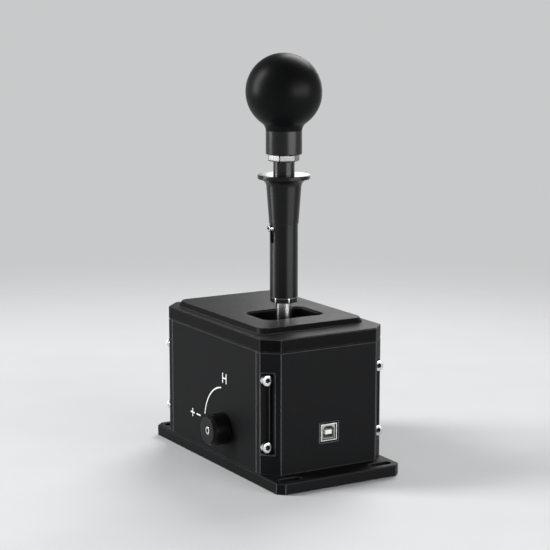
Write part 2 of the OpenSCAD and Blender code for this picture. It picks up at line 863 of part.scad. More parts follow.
module yoke_bushes() {
    color(bronze) translate([0, lever_y, pivot_z]) for (s = [-1, 1]) difference() {
        translate([s * (yoke_w - yoke_wall_x) / 2, 0, 0])
            along_x(pin_d / 2 + bush_wall, -yoke_wall_x / 2, yoke_wall_x / 2);
        along_x(pin_d / 2 + run_gap, -yoke_w, yoke_w);
    }
}

module side_magnet() {
    color(magnet_grey) translate([0, lever_y, pivot_z]) mirror([0, 1, 0])
        along_y(side_magnet_d / 2, axle_far - magnet_t, axle_far);
}

module fore_sensor_board() {
    color(board_green) translate([yoke_w / 2, lever_y, pivot_z]) rotate([0, 0, -90]) sensor_board();
}

// Lever, which swings fore and aft in the yoke

module pivot_block() {
    color(anodised) translate([0, lever_y, 0]) difference() {
        translate([-block_w / 2, 0, 0]) rotate([90, 0, 90]) linear_extrude(block_w) {
            translate([0, pivot_z]) circle(block_r);
            translate([-block_neck_l / 2, pivot_z]) square([block_neck_l, block_top_z - pivot_z]);
        }
        translate([0, 0, pivot_z]) along_x(pin_d / 2 + seat_gap, -block_w, block_w);
        translate([0, 0, block_top_z - rod_stud_len - seat_gap])
            cylinder(d = rod_stud_d + 2 * seat_gap, h = rod_stud_len + over);
        translate([0, 0, pivot_z - block_r - over])
            cylinder(d = tail_spigot_d + 2 * seat_gap, h = tail_spigot_len + over + seat_gap);
    }
}

module cross_pin() {
    color(polished) translate([0, lever_y, pivot_z]) difference() {
        along_x(pin_d / 2, -yoke_w / 2, pin_end);
        along_x(fore_magnet_d / 2 + seat_gap, pin_end - magnet_t, yoke_w);
    }
}

module fore_magnet() {
    color(magnet_grey) translate([0, lever_y, pivot_z])
        along_x(fore_magnet_d / 2, pin_end - magnet_t, pin_end);
}

module lever_tail() {
    tail_top = pivot_z - block_r;
    color(steel) translate([0, lever_y, 0]) difference() {
        union() {
            translate([0, 0, tail_foot_z]) cylinder(d = tail_d, h = tail_top - tail_foot_z - seat_gap);
            translate([0, 0, tail_foot_z])
                cylinder(d = tail_spigot_d, h = tail_top + tail_spigot_len - tail_foot_z);
        }
        translate([0, 0, tail_foot_z - over])
            cylinder(r = ball_r + run_gap, h = tail_bore_len + over);
    }
}

module detent_ball() {
    color(polished) translate([0, lever_y, track_top]) sphere(ball_r);
}

detent_points = coil_points(ball_r - detent_wire_r - clear_gap, track_top + ball_r + detent_wire_r,
    tail_foot_z + tail_bore_len - detent_wire_r, detent_turns);
module detent_spring() {
    color(steel) translate([0, lever_y, 0]) coil_tube(detent_points, detent_wire_r);
}

// Turned shaft: the foot stud, the polished rod, the shaft proper and the knob stud
module lever_shaft() {
    groove_r = shaft_d / 2 - ring_groove;
    color(polished) translate([0, lever_y, 0]) difference() {
        rotate_extrude() polygon([
            [0, block_top_z - rod_stud_len], [rod_stud_d / 2, block_top_z - rod_stud_len],
            [rod_stud_d / 2, block_top_z], [rod_d / 2, block_top_z],
            [rod_d / 2, shaft_z], [shaft_d / 2 - edge, shaft_z], [shaft_d / 2, shaft_z + edge],
            [shaft_d / 2, stop_ring_z - seat_gap], [groove_r, stop_ring_z - seat_gap],
            [groove_r, stop_ring_z + ring_t + seat_gap], [shaft_d / 2, stop_ring_z + ring_t + seat_gap],
            [shaft_d / 2, nut_z - edge], [shaft_d / 2 - edge, nut_z],
            [stud_d / 2, nut_z], [stud_d / 2, nut_z + stud_len - edge],
            [stud_d / 2 - edge, nut_z + stud_len], [0, nut_z + stud_len]
        ]);
        translate([0, 0, guide_z])
            along_x(guide_stem_d / 2 + seat_gap, -shaft_d, -shaft_d / 2 + guide_stem_len + seat_gap);
    }
}

module spring_stop_ring() {
    color(steel) translate([0, lever_y, stop_ring_z]) difference() {
        cylinder(r = cavity_r - clear_gap, h = ring_t);
        translate([0, 0, -over]) cylinder(r = shaft_d / 2 - ring_groove + seat_gap, h = ring_t + 2 * over);
    }
}

module guide_screw() {
    head_out = tube_d / 2 + guide_proud;
    head_h = head_out - shaft_d / 2 - seat_gap;
    color(steel) translate([-shaft_d / 2 - seat_gap, lever_y, guide_z]) rotate([0, -90, 0])
        cap_screw([guide_stem_d / 2, guide_head_d / 2, head_h, guide_key], guide_stem_len);
}

// Hexagonal nut that stands on z = 0, with both faces bevelled at its corners
module hex_nut(flats, height, bore_r, turn) {
    corner_r = flats / 2 / cos(30);
    bevel_r = corner_r - nut_bevel;
    difference() {
        intersection() {
            rotate(turn) cylinder(r = corner_r, h = height, $fn = 6);
            rotate_extrude() polygon([
                [0, 0], [bevel_r, 0], [bevel_r + height / 2 / tan(30), height / 2],
                [bevel_r, height], [0, height]
            ]);
        }
        translate([0, 0, -over]) cylinder(r = bore_r, h = height + 2 * over);
    }
}

// Stop nut on the rod: the shaft's shoulder and the lift tube rest on it
module tube_stop_nut() {
    color(polished) translate([0, lever_y, stop_nut_z])
        hex_nut(stop_nut_af, stop_nut_h, rod_d / 2 + seat_gap, stop_nut_turn);
}

// Lock nut under the knob
module knob_lock_nut() {
    color(polished) translate([0, lever_y, nut_z]) hex_nut(nut_af, nut_h, stud_d / 2 + seat_gap, nut_turn);
}

// Ball knob: a ball, a neck and a hollow fillet that runs tangent from one into the other
module shift_knob() {
    fillet_x = neck_d / 2 + neck_fillet;
    fillet_drop = sqrt(pow(knob_d / 2 + neck_fillet, 2) - pow(fillet_x, 2));
    touch = knob_d / 2 / (knob_d / 2 + neck_fillet);
    color(satin_black) translate([0, lever_y, 0]) difference() {
        union() {
            translate([0, 0, ball_z]) sphere(d = knob_d);
            rotate_extrude() polygon([
                [0, knob_z], [neck_d / 2 - edge, knob_z], [neck_d / 2, knob_z + edge],
                [neck_d / 2, ball_z - fillet_drop], [0, ball_z - fillet_drop]
            ]);
            rotate_extrude() difference() {
                polygon([
                    [0, ball_z - fillet_drop], [fillet_x, ball_z - fillet_drop],
                    [fillet_x * touch, ball_z - fillet_drop * touch], [0, ball_z - fillet_drop * touch]
                ]);
                translate([fillet_x, ball_z - fillet_drop]) circle(neck_fillet);
            }
        }
        translate([0, 0, knob_z - over])
            cylinder(d = stud_d + 2 * seat_gap, h = stud_len - nut_h + over + seat_gap);
    }
}

// Lift collar on the lever

// Finger disc, a flare under it and a tapered sleeve that houses the spring
module lift_collar() {
    flare_r = (disc_d - sleeve_top_d) / 2 - edge;
    disc_low = collar_top - disc_t;
    color(satin_black) translate([0, lever_y, 0]) difference() {
        rotate_extrude() difference() {
            polygon([
                [0, collar_z], [sleeve_low_d / 2, collar_z], [sleeve_top_d / 2, disc_low - flare_r],
                [disc_d / 2 - edge, disc_low - flare_r], [disc_d / 2 - edge, disc_low],
                [disc_d / 2, disc_low + edge], [disc_d / 2, collar_top - edge],
                [disc_d / 2 - edge, collar_top], [0, collar_top]
            ]);
            translate([sleeve_top_d / 2 + flare_r, disc_low - flare_r]) circle(flare_r);
        }
        translate([0, 0, collar_z - over]) cylinder(r = cavity_r, h = cavity_top_z - collar_z + over);
        cylinder(r = tube_bore_r, h = collar_top + over);
    }
}

// Tube that slides on the shaft, with the guide slot
module lift_tube() {
    color(satin_black) translate([0, lever_y, 0]) difference() {
        union() {
            translate([0, 0, tube_z]) cylinder(d = tube_d, h = tube_len);
            translate([0, 0, tube_z]) cylinder(r = cavity_r - seat_gap, h = tube_len + spigot_len);
        }
        translate([0, 0, tube_z - over]) cylinder(r = tube_bore_r, h = tube_len + spigot_len + 2 * over);
        translate([-tube_d / 2, 0, guide_z - lift_travel / 2]) rotate([0, 90, 0])
            linear_extrude(tube_d, center = true)
                slot_outline(lift_travel + 2 * guide_slot_r, 2 * guide_slot_r);
    }
}

lift_points = coil_points((cavity_r + shaft_d / 2) / 2, collar_z + spigot_len + lift_wire_r + seat_gap,
    stop_ring_z - lift_wire_r - seat_gap, lift_turns);
module lift_spring() {
    color(steel) translate([0, lever_y, 0]) coil_tube(lift_points, lift_wire_r);
}
echo(lift_spring_gap = least_gap(lift_points, lift_wire_r));
echo(detent_spring_gap = least_gap(detent_points, detent_wire_r));
echo(centring_spring_gap = least_gap(centring_points, centring_wire_r));

// Mode knob and its shaft, which turn about X

module mode_bush() {
    bore_r = mode_shaft_d / 2 + run_gap;
    color(bronze) translate([0, lever_y, mode_z]) difference() {
        union() {
            along_x(mode_shaft_d / 2 + bush_wall, -half_w, -inner_x);
            along_x(mode_shaft_d / 2 + bush_wall + mode_flange, -inner_x, -inner_x + mode_flange_t);
        }
        along_x(bore_r, -half_w - over, -inner_x + mode_flange_t + over);
    }
}

module mode_sensor_board() {
    board_z = mode_z + mode_magnet_r + mode_board_rise;
    color(board_green) {
        translate([-inner_x + mode_board[0] / 2, lever_y, board_z]) cube(mode_board, center = true);
        translate([-inner_x + mode_board[0] + mode_chip_t / 2, lever_y, board_z - mode_board[2] / 4])
            cube([mode_chip_t, sensor_chip[0], sensor_chip[1]], center = true);
    }
}

module mode_plunger() {
    top_z = plunger_ball_z + plunger_ball_r / 4;
    color(zinc) translate([mode_cam_x + mode_cam_t / 2, lever_y, 0]) difference() {
        translate([0, 0, base_t - plunger_seat]) cylinder(r = plunger_r, h = top_z - base_t + plunger_seat);
        translate([0, 0, base_t]) cylinder(r = plunger_ball_r + run_gap, h = top_z);
    }
}

module mode_plunger_ball() {
    color(polished) translate([mode_cam_x + mode_cam_t / 2, lever_y, plunger_ball_z]) sphere(plunger_ball_r);
}

// Turned knob: a slightly tapered grip, a broad bevel and a sunk seat for its screw
module mode_knob() {
    bore_depth = mode_shaft_out - half_w - mode_gap + seat_gap;
    rim_r = mode_knob_d / 2 - mode_taper;
    color(satin_black) translate([-half_w - mode_gap, lever_y, mode_z]) rotate([0, -90, 0]) difference() {
        rotate_extrude() polygon([
            [0, 0], [mode_knob_d / 2 - edge, 0], [mode_knob_d / 2, edge],
            [rim_r, mode_knob_len - mode_bevel], [mode_face_d / 2, mode_knob_len], [0, mode_knob_len]
        ]);
        translate([0, 0, -over]) cylinder(d = mode_shaft_d + 2 * seat_gap, h = bore_depth + over);
        cylinder(r = m3[0] + hole_gap, h = mode_knob_len + over);
        translate([0, 0, mode_knob_len - m3[2] - head_sink])
            cylinder(r = m3[1] + hole_gap, h = m3[2] + head_sink + over);
    }
}

module mode_knob_screw() {
    face_x = half_w + mode_gap + mode_knob_len;
    color(steel) translate([-face_x + m3[2] + head_sink, lever_y, mode_z]) rotate([0, -90, 0])
        cap_screw(m3, mode_screw_len);
}

module mode_shaft() {
    groove_r = mode_shaft_d / 2 - ring_groove / 2;
    color(polished) translate([0, lever_y, mode_z]) difference() {
        along_x(mode_shaft_d / 2, -mode_shaft_out, mode_shaft_in);
        along_x(m3[0] + seat_gap, -mode_shaft_out - over, -mode_shaft_out + mode_screw_len);
        difference() {
            along_x(mode_shaft_d, mode_clip_x - seat_gap, mode_clip_x + mode_clip_t + seat_gap);
            along_x(groove_r, -half_w, 0);
        }
    }
}

// Cam with a hub towards the bush and two rim notches, one for each mode
module mode_cam() {
    color(steel) translate([0, lever_y, mode_z]) difference() {
        union() {
            along_x(mode_cam_r, mode_cam_x, mode_cam_x + mode_cam_t);
            along_x(mode_hub_r, -inner_x + mode_flange_t + clear_gap, mode_cam_x + mode_cam_t);
        }
        along_x(mode_shaft_d / 2 + seat_gap, -half_w, 0);
        for (turn = [0, mode_turn]) rotate([turn, 0, 0])
            translate([0, 0, -mode_cam_r - mode_notch_r / 2]) along_x(mode_notch_r, -half_w, 0);
        translate([0, 0, mode_magnet_r])
            along_x(mode_magnet_d / 2 + seat_gap, mode_cam_x - over, mode_cam_x + mode_magnet_t);
    }
}

module mode_magnet() {
    color(magnet_grey) translate([0, lever_y, mode_z + mode_magnet_r])
        along_x(mode_magnet_d / 2, mode_cam_x, mode_cam_x + mode_magnet_t);
}

module mode_shaft_clip() {
    color(steel) translate([0, lever_y, mode_z]) difference() {
        along_x(mode_hub_r, mode_clip_x, mode_clip_x + mode_clip_t);
        along_x(mode_shaft_d / 2 - ring_groove / 2 + seat_gap, -half_w, 0);
    }
}

base_plate();
front_wall();
rear_wall();
left_side_plate();
right_side_plate();
top_cover();
wall_screws();
tie_bolts();
front_bearing_block();
rear_bearing_block();
bearing_block_screws();
front_bush();
rear_bush();
track_plate();
track_screws();
circuit_board();
board_parts();
board_standoffs();
board_screws();
socket_shell();
socket_tongue();
side_sensor_board();
left_centring_spring();
right_centring_spring();
mode_bush();
mode_sensor_board();
mode_plunger();
mode_plunger_ball();
yoke_frame();
yoke_axles();
yoke_bushes();
side_magnet();
fore_sensor_board();
pivot_block();
cross_pin();
fore_magnet();
lever_tail();
detent_ball();
detent_spring();
lever_shaft();
tube_stop_nut();
spring_stop_ring();
guide_screw();
knob_lock_nut();
shift_knob();
lift_collar();
lift_tube();
lift_spring();
mode_knob();
mode_knob_screw();
mode_shaft();
mode_cam();
mode_magnet();
mode_shaft_clip();
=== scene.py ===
import json
import math

import bmesh
import bpy
import numpy as np
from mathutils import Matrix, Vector


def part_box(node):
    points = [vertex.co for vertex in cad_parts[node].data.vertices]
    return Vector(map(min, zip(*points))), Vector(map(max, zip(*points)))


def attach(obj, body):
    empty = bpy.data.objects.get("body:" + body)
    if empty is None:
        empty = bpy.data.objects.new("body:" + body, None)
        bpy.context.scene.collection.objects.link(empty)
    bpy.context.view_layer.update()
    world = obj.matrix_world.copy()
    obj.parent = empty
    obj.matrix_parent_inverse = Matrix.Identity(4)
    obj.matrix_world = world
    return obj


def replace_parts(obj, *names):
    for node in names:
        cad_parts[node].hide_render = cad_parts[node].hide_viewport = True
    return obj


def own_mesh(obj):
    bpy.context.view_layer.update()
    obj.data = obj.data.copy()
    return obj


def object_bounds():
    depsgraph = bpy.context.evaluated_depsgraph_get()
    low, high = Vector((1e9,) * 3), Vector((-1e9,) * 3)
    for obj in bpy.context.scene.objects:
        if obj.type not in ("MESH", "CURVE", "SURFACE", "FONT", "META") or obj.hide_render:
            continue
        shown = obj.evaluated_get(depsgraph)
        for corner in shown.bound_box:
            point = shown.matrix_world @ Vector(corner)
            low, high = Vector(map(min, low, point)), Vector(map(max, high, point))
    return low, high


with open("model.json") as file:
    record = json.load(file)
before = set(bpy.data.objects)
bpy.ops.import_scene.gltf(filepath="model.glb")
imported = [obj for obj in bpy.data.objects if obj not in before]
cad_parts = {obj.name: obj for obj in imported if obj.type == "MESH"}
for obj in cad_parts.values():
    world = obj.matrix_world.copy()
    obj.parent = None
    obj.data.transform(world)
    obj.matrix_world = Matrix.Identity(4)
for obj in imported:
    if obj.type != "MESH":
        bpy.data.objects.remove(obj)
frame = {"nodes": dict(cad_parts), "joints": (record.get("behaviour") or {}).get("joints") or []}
cad_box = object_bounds()


# Base plate: milled from aluminium plate, bead-blasted and anodised black. The housing stands on it, and
# four slots near its corners take the bolts that hold it to a rig.

MM = 0.001  # one millimetre, in metres


class Shade:
    """One socket of a material's nodes. An operator on it adds a Math node and gives that node's output."""

    def __init__(self, tree, socket=None):
        self.tree = tree
        self.socket = socket

    def node(self, kind, settings={}, inputs={}, output=0):
        """Adds a node: first its settings, then the values or links of its inputs. Gives one output."""
        made = self.tree.nodes.new("ShaderNode" + kind)
        for key, value in settings.items():
            setattr(made, key, value)
        for key, value in inputs.items():
            if isinstance(value, Shade):
                self.tree.links.new(value.socket, made.inputs[key])
            else:
                made.inputs[key].default_value = value
        return Shade(self.tree, made.outputs[output])

    def math(self, operation, first, second=0.0):
        """Adds a Math node on one or two values."""
        return self.node("Math", {"operation": operation}, {0: first, 1: second})

    def __add__(self, other):
        return self.math("ADD", self, other)

    def __sub__(self, other):
        return self.math("SUBTRACT", self, other)

    def __rsub__(self, other):
        return self.math("SUBTRACT", other, self)

    def __mul__(self, other):
        return self.math("MULTIPLY", self, other)

    def __gt__(self, other):
        return self.math("GREATER_THAN", self, other)

    def __lt__(self, other):
        return self.math("LESS_THAN", self, other)

    def __abs__(self):
        return self.math("ABSOLUTE", self)

    __radd__ = __add__
    __rmul__ = __mul__


def finish(name, recipe, **fixed):
    """A material with one Principled shader. The fixed values sit on its sockets, whose names have _ for each
    space; recipe(place) gives the sockets that vary, as links worked out from the Object coordinates."""
    made = bpy.data.materials.new(name)
    made.use_nodes = True
    shader = made.node_tree.nodes["Principled BSDF"]
    place = Shade(made.node_tree).node("TexCoord", output="Object")
    for key, value in fixed.items():
        shader.inputs[key.replace("_", " ")].default_value = value
    for key, value in recipe(place).items():
        made.node_tree.links.new(value.socket, shader.inputs[key])
    return made


def dress(material, *nodes):
    """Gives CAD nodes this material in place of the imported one."""
    for node in nodes:
        slots = frame["nodes"][node].data.materials
        slots.clear()
        slots.append(material)


def speckle(place, size, detail=2.0):
    """Noise from 0 to 1 with lumps about size metres across."""
    return place.node("TexNoise", {}, {"Vector": place, "Scale": 1 / size, "Detail": detail})


def tint(share, dark, light):
    """Colour that runs from dark where share is 0 to light where it is 1."""
    factor, first, second, result = 0, 6, 7, 2  # the sockets of a Mix node that mixes colours
    ends = {first: dark, second: light}
    ends = {key: end if isinstance(end, Shade) else (*end, 1.0) for key, end in ends.items()}
    return share.node("Mix", {"data_type": "RGBA"}, {factor: share, **ends}, result)


def relief(height, depth, normal=None):
    """Normal of a surface that height, from 0 to 1, raises by up to depth metres."""
    inputs = {"Height": height, "Distance": depth}
    if normal:
        inputs["Normal"] = normal
    return height.node("Bump", {}, inputs, "Normal")


def flat_normal(place):
    """Normal of the surface as it is modelled."""
    return place.node("NewGeometry", output="Normal")


def eased(place, radius):
    """Normal with each edge rounded to that radius."""
    return place.node("Bevel", {"samples": 6}, {"Radius": radius})


def edges(rounded):
    """Mask from 0 on the faces to about 1 on a square edge, where the eased normal is 45 degrees off the flat
    one: 1 less the cosine between the two, times 3.5."""
    facing = rounded.node("VectorMath", {"operation": "DOT_PRODUCT"},
                          {0: rounded, 1: flat_normal(rounded)}, "Value")
    return (1 - facing) * 3.5


def coordinate(vector, axis):
    """The X, Y or Z of a place or a direction, as a number."""
    return vector.node("SeparateXYZ", {}, {0: vector}, axis)


def blasted_black(name, roughness, gloss, flank=0.0, rub_and_highlight_from=-1.0, rub=1.0, corner=0.0):
    """Bead-blasted black anodising: fine pits, faint clouds, and edges painted lighter grey, partly as wear
    from handling and partly as a painted highlight. The share rub counts above a given height, and corner
    adds more painted highlight on upright edges. Upright faces are darker by the share flank, a painted
    shade."""
    def recipe(place):
        rounded = eased(place, 1.0 * MM)
        edge_wear_and_highlight = edges(rounded)
        upright_face = coordinate(flat_normal(place), "Z") < 0.5
        upright_edge = abs(coordinate(rounded, "Z")) < 0.2
        pits = speckle(place, 0.35 * MM, 3.0)
        grain = speckle(place, 1.3 * MM)
        cloud = speckle(place, 12 * MM)
        coat = tint(0.5 * pits + 0.3 * grain + 0.2 * cloud,
                    (0.0020, 0.0021, 0.0024), (0.0100, 0.0104, 0.0112))
        # Painted shade: upright faces are darkened by the share flank.
        coat = tint(upright_face * flank, coat, (0.0008, 0.0008, 0.0010))
        # Lighter edges: wear from handling and a painted highlight; corner adds painted highlight on upright
        # edges.
        rubbed_and_highlit = edge_wear_and_highlight * rub * (0.5 + 0.5 * grain) * (coordinate(place, "Z") > rub_and_highlight_from)
        rubbed_and_highlit = rubbed_and_highlit + edge_wear_and_highlight * corner * upright_edge
        return {
            "Base Color": tint(rubbed_and_highlit, coat, (0.220, 0.223, 0.230)),
            "Roughness": roughness - 0.16 + 0.12 * pits + 0.12 * grain + 0.08 * cloud,
            "Normal": relief(pits, 0.010 * MM, rounded),
        }
    return finish(name, recipe, Specular_IOR_Level=gloss)


# The base's edges get little of the lighter grey, and its upright corner edges a strong painted highlight.
base_black = blasted_black("base_black", roughness=0.50, gloss=0.05, rub=0.25, corner=2.0)
dress(base_black, "base_plate")


# Walls: two end walls with cut corners and two side plates between them, all blasted and anodised like the
# base. Cap screws in the corner notches draw the end walls against the side plates.

# corner adds a painted highlight on the walls' upright edges.
plate_black = blasted_black("plate_black", roughness=0.50, gloss=0.05, corner=1.3)
dress(plate_black, "front_wall", "rear_wall", "left_side_plate", "right_side_plate")


def grid_faces(rows, columns):
    """Quads of a grid whose columns close on themselves, as vertex numbers."""
    row, column = np.mgrid[0:rows - 1, 0:columns]
    ahead = (column + 1) % columns
    return np.stack([row * columns + column, row * columns + ahead,
                     (row + 1) * columns + ahead, (row + 1) * columns + column], -1).reshape(-1, 4)


def cap_screw(shank, head, height, key, length):
    """A socket cap screw along +Z, its head's underside at z = 0. A profile of radius against z runs from the
    tip up the shank, out under the head, up the flank, in over the face and down the socket, and is carried
    round the axis. The flank is knurled: every second column lies in by the knurl's depth. The socket's
    radius at angle a is that of a hexagon, key / 2 over the cosine of a brought to within 30 degrees of 0."""
    knurl, bevel, deep, columns = 0.03 * head, 0.09 * head, height / 2, 72
    angle = np.linspace(0, 2 * np.pi, columns, endpoint=False)
    hexagon = key / 2 / np.cos((angle + np.pi / 6) % (np.pi / 3) - np.pi / 6)
    even = np.ones(columns)
    ribbed = 1 - knurl / head * (np.arange(columns) % 2)
    rows = [(0, -length), (0.8 * shank, -length), (shank, 0.25 * shank - length), (shank, -0.3 * bevel),
            (shank + 0.3 * bevel, 0), (head - bevel, 0), (head - 0.3 * bevel, 0.3 * bevel)]
    rows = [(radius * even, z) for radius, z in rows]
    rows += [(head * ribbed, z) for z in np.linspace(0.6 * bevel, height - 1.2 * bevel, 3)]
    rows += [((head - bevel * (1 - math.cos(t))) * even, height - bevel * (1 - math.sin(t)))
             for t in np.radians([10, 35, 60, 90])]
    rows += [(hexagon + 0.35 * bevel, height), (hexagon, height - 0.35 * bevel), (hexagon, height - deep),
             (0.97 * hexagon, height - deep), (0 * even, height - deep - 0.3 * key)]
    radius = np.array([row[0] for row in rows])
    z = np.array([row[1] for row in rows])[:, None] + 0 * radius
    points = np.stack([radius * np.cos(angle), radius * np.sin(angle), z], -1)
    return points.reshape(-1, 3), grid_faces(len(rows), columns)


def placed(shell, spot, x_axis, z_axis):
    """A shell turned so that its X and Z lie along two given directions, and moved to a spot."""
    points, quads = shell
    turn = np.stack([x_axis, np.cross(z_axis, x_axis), z_axis])
    return points @ turn + spot, quads


def piece(name, shells, material, body, marks={}):
    """A new object from (points, quads) shells, which rides on a body of the frame. Each mark is an attribute
    with a value for every point. Points that meet, at poles and seams, are merged into one."""
    meeting, crease = 0.001 * MM, math.radians(35)
    counts = np.cumsum([0] + [len(points) for points, quads in shells])
    points = np.concatenate([points for points, quads in shells])
    quads = np.concatenate([quads + first for (_, quads), first in zip(shells, counts)])
    mesh = bpy.data.meshes.new(name)
    mesh.from_pydata(points, [], quads.tolist())
    for mark, values in marks.items():
        mesh.attributes.new(mark, "FLOAT", "POINT").data.foreach_set("value", values)
    shape = bmesh.new()
    shape.from_mesh(mesh)
    bmesh.ops.remove_doubles(shape, verts=shape.verts, dist=meeting)
    shape.to_mesh(mesh)
    shape.free()
    mesh.shade_smooth()
    mesh.set_sharp_from_angle(angle=crease)
    mesh.materials.append(material)
    made = bpy.data.objects.new(name, mesh)
    bpy.context.scene.collection.objects.link(made)
    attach(made, body)
    return made


def cap_screw_steel(place):
    """Stainless steel, bright from the cold forming, with small rub marks and painted shade in the socket."""
    rub = speckle(place, 0.8 * MM)
    scratch = speckle(place, 0.1 * MM, 3.0)
    # The socket mark darkens the hex socket: painted shade.
    oil_and_socket_shade = place.node("Attribute", {"attribute_name": "socket"}, output="Fac")
    steel = tint(rub, (0.58, 0.59, 0.60), (0.74, 0.74, 0.75))
    return {
        "Base Color": tint(oil_and_socket_shade, steel, (0.030, 0.030, 0.032)),
        "Roughness": 0.14 + 0.10 * rub + 0.08 * scratch + 0.15 * oil_and_socket_shade,
        "Normal": relief(scratch, 0.002 * MM, eased(place, 0.12 * MM)),
    }


screw_steel = finish("screw_steel", cap_screw_steel, Metallic=1.0)


def cap_screws(name, sizes, places, body):
    """Like cap screws as one piece, each with its spot and the directions of its X and Z. The mark socket is
    1 in the socket, which lies below the face and within 0.62 of the key from the axis, and 0 elsewhere; the
    steel paints shade where it is 1."""
    shell = cap_screw(**sizes)
    x, y, z = shell[0].T
    inside = (np.hypot(x, y) < 0.62 * sizes["key"]) & (z > 0) & (z < 0.99 * sizes["height"])
    socket = np.tile(inside.astype(float), len(places))
    shells = [placed(shell, *place) for place in places]
    return piece(name, shells, screw_steel, body, {"socket": socket})


m4 = dict(shank=2.0 * MM, head=3.5 * MM, height=4.0 * MM, key=3.0 * MM, length=14.0 * MM)
screw_low, screw_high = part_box("wall_screws")
wall_places = []
for x in (screw_low.x + m4["head"], screw_high.x - m4["head"]):
    for z in (screw_low.z + m4["head"], screw_high.z - m4["head"]):
        wall_places.append(((x, screw_low.y + m4["height"], z), (1, 0, 0), (0, -1, 0)))
        wall_places.append(((x, screw_high.y - m4["height"], z), (1, 0, 0), (0, 1, 0)))
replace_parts(cap_screws("wall_cap_screws", m4, wall_places, "housing"), "wall_screws")


# Cover: one milled plate with a raised deck, blasted more finely than the walls, so that it takes a soft
# reflection. Four long bolts come up from under the base through the end walls and hold it down.

# Below seam_top the cover's edges get none of the lighter grey, so the seam stays dark; flank darkens its
# upright faces as painted shade.
seam_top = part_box("top_cover")[0].z + 0.5 * MM
deck_black = blasted_black("deck_black", roughness=0.42, gloss=0.05, flank=0.8, rub_and_highlight_from=seam_top)
dress(deck_black, "top_cover")


def cells(place, size):
    """Distance to the nearest of many scattered points about size metres apart, in shares of size."""
    return place.node("TexVoronoi", {}, {"Vector": place, "Scale": 1 / size}, "Distance")


def zinc_plate(place):
    """Zinc-plated steel: a bluish grey with small spangles and a dull film."""
    spangle = cells(place, 1.1 * MM)
    film = speckle(place, 4 * MM)
    return {
        "Base Color": tint(spangle, (0.46, 0.47, 0.49), (0.62, 0.63, 0.66)),
        "Roughness": 0.26 + 0.2 * film,
        "Normal": relief(spangle, 0.01 * MM),
    }


zinc = finish("zinc_plated", zinc_plate, Metallic=1.0)
dress(zinc, "tie_bolts")


# Bearings: two milled blocks bolted up through the base, each with a pressed sintered-bronze bush for one
# axle of the yoke.

def wave(run, pitch):
    """Sine that repeats at each pitch along run, brought to 0 to 1."""
    angle = run * (2 * math.pi / pitch)
    return angle.math("SINE", angle) * 0.5 + 0.5


def milled_black(place):
    """Anodised milled aluminium: fine cutter lines along the height that waver a little."""
    lines = wave(coordinate(place, "Z") + 0.25 * MM * speckle(place, 6 * MM), 0.35 * MM)
    rounded = eased(place, 0.3 * MM)
    return {
        # Lighter edges: wear, and partly a painted edge highlight.
        "Base Color": tint(edges(rounded) * 0.6, (0.012, 0.0125, 0.0135), (0.12, 0.12, 0.125)),
        "Roughness": 0.30 + 0.12 * lines,
        "Normal": relief(lines, 0.006 * MM, rounded),
    }


milled = finish("milled_black", milled_black, Metallic=0.2)
dress(milled, "front_bearing_block", "rear_bearing_block")
dress(zinc, "bearing_block_screws")


def bronze(place):
    """Sintered bronze: a warm metal full of small dark pores."""
    solid = cells(place, 0.5 * MM) > 0.22
    oil_and_socket_shade = speckle(place, 3 * MM)
    return {
        "Base Color": tint(solid, (0.16, 0.10, 0.045), (0.56, 0.38, 0.18)),
        "Roughness": 0.32 + 0.15 * oil_and_socket_shade,
        "Normal": relief(solid, 0.02 * MM),
    }


bush_bronze = finish("sintered_bronze", bronze, Metallic=1.0)
dress(bush_bronze, "front_bush", "rear_bush")


# Track: a hardened steel plate with three lanes and a cross channel, screwed to the base under the lever.
# It is ground to a straight fine grain.

def drawn_out(place, scale):
    """Place with each axis scaled, so that a pattern is longer along an axis whose scale is small."""
    return place.node("Mapping", {}, {"Vector": place, "Scale": scale})


def ground_steel(place):
    """Ground steel: straight scratches along Y, made by noise that is stretched fifty times that way."""
    scratch = speckle(drawn_out(place, (1.0, 0.02, 1.0)), 0.12 * MM, 3.0)
    return {
        "Base Color": tint(scratch, (0.40, 0.41, 0.42), (0.58, 0.58, 0.60)),
        "Roughness": 0.22 + 0.18 * scratch,
        "Normal": relief(scratch, 0.006 * MM),
    }


ground = finish("ground_steel", ground_steel, Metallic=1.0)
dress(ground, "track_plate")
dress(zinc, "track_screws")


# Centring springs: two coils of drawn steel wire that stand on the base beside the track and press up
# against the yoke. Their end turns are wound close and ground flat.

def ribbon(path, up, width, height, power, around=16):
    """Closed tube along a path. With T the path's direction and N = up x T, a section's point at angle a is
    path + N * width * c + up * height * s, where c and s are cos a and sin a to that power, signs kept."""
    along = np.gradient(path, axis=0)
    along /= np.linalg.norm(along, axis=1, keepdims=True)
    up = np.broadcast_to(up, path.shape)
    side = np.cross(up, along)
    side /= np.linalg.norm(side, axis=1, keepdims=True)
    up = np.cross(along, side)
    angle = np.linspace(0, 2 * np.pi, around, endpoint=False)
    wide = np.sign(np.cos(angle)) * np.abs(np.cos(angle)) ** power
    high = np.sign(np.sin(angle)) * np.abs(np.sin(angle)) ** power
    across = side[:, None] * (np.reshape(width, (-1, 1)) * wide)[..., None]
    rise = up[:, None] * (np.reshape(height, (-1, 1)) * high)[..., None]
    return (path[:, None] + across + rise).reshape(-1, 3), grid_faces(len(path), around)


def spring_wire(place):
    """Drawn spring wire: dark blue-grey steel with a drawn grain and a thin film of grease."""
    grain = speckle(place, 0.25 * MM, 3.0)
    grease = speckle(place, 3 * MM)
    return {
        "Base Color": tint(grain, (0.30, 0.31, 0.34), (0.46, 0.47, 0.50)),
        "Roughness": 0.22 + 0.22 * grease,
        "Normal": relief(grain, 0.004 * MM),
    }


wire_steel = finish("spring_wire", spring_wire, Metallic=1.0)


def middle(node):
    """The middle of a CAD node's box."""
    return [(low + high) / 2 for low, high in zip(*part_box(node))]


